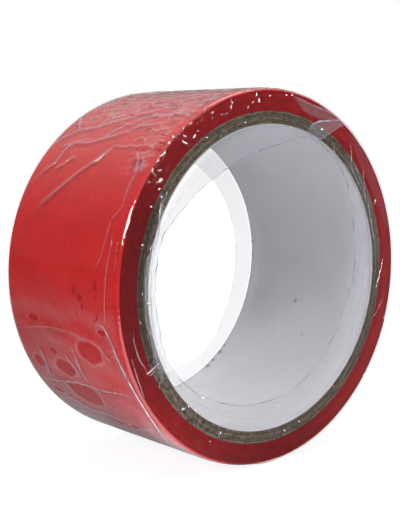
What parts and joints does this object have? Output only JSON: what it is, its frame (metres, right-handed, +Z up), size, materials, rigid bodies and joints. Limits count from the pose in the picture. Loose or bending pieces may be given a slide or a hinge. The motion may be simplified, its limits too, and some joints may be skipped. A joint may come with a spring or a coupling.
{
  "type": "duct tape roll",
  "caption": "Roll of glossy duct tape wound on a spiral paper core, sealed in clear shrink film that laps over both end faces and leaves the bore open.",
  "frame": {"origin": "centre of the flat that the standing roll rests on, at the bottom of its rim", "axes": "+Z up; the roll's axis lies along Y, and the front end face, whose film lip and core are seen first, looks along -Y"},
  "size_m": [0.0946, 0.0488, 0.0946],
  "materials": {
    "tape": "gloss",
    "greyboard": "matte",
    "liner_paper": "matte",
    "clear_film": "gloss"
  },
  "bodies": {
    "root": {"core_liner": "liner_paper", "core_ply_1": "greyboard", "core_ply_2": "greyboard", "core_ply_3": "greyboard", "core_ply_4": "greyboard", "core_ply_5": "greyboard", "core_ply_6": "greyboard", "tape_winding": "tape", "tape_last_turn": "tape", "shrink_film": "clear_film"}
  },
  "joints": []
}
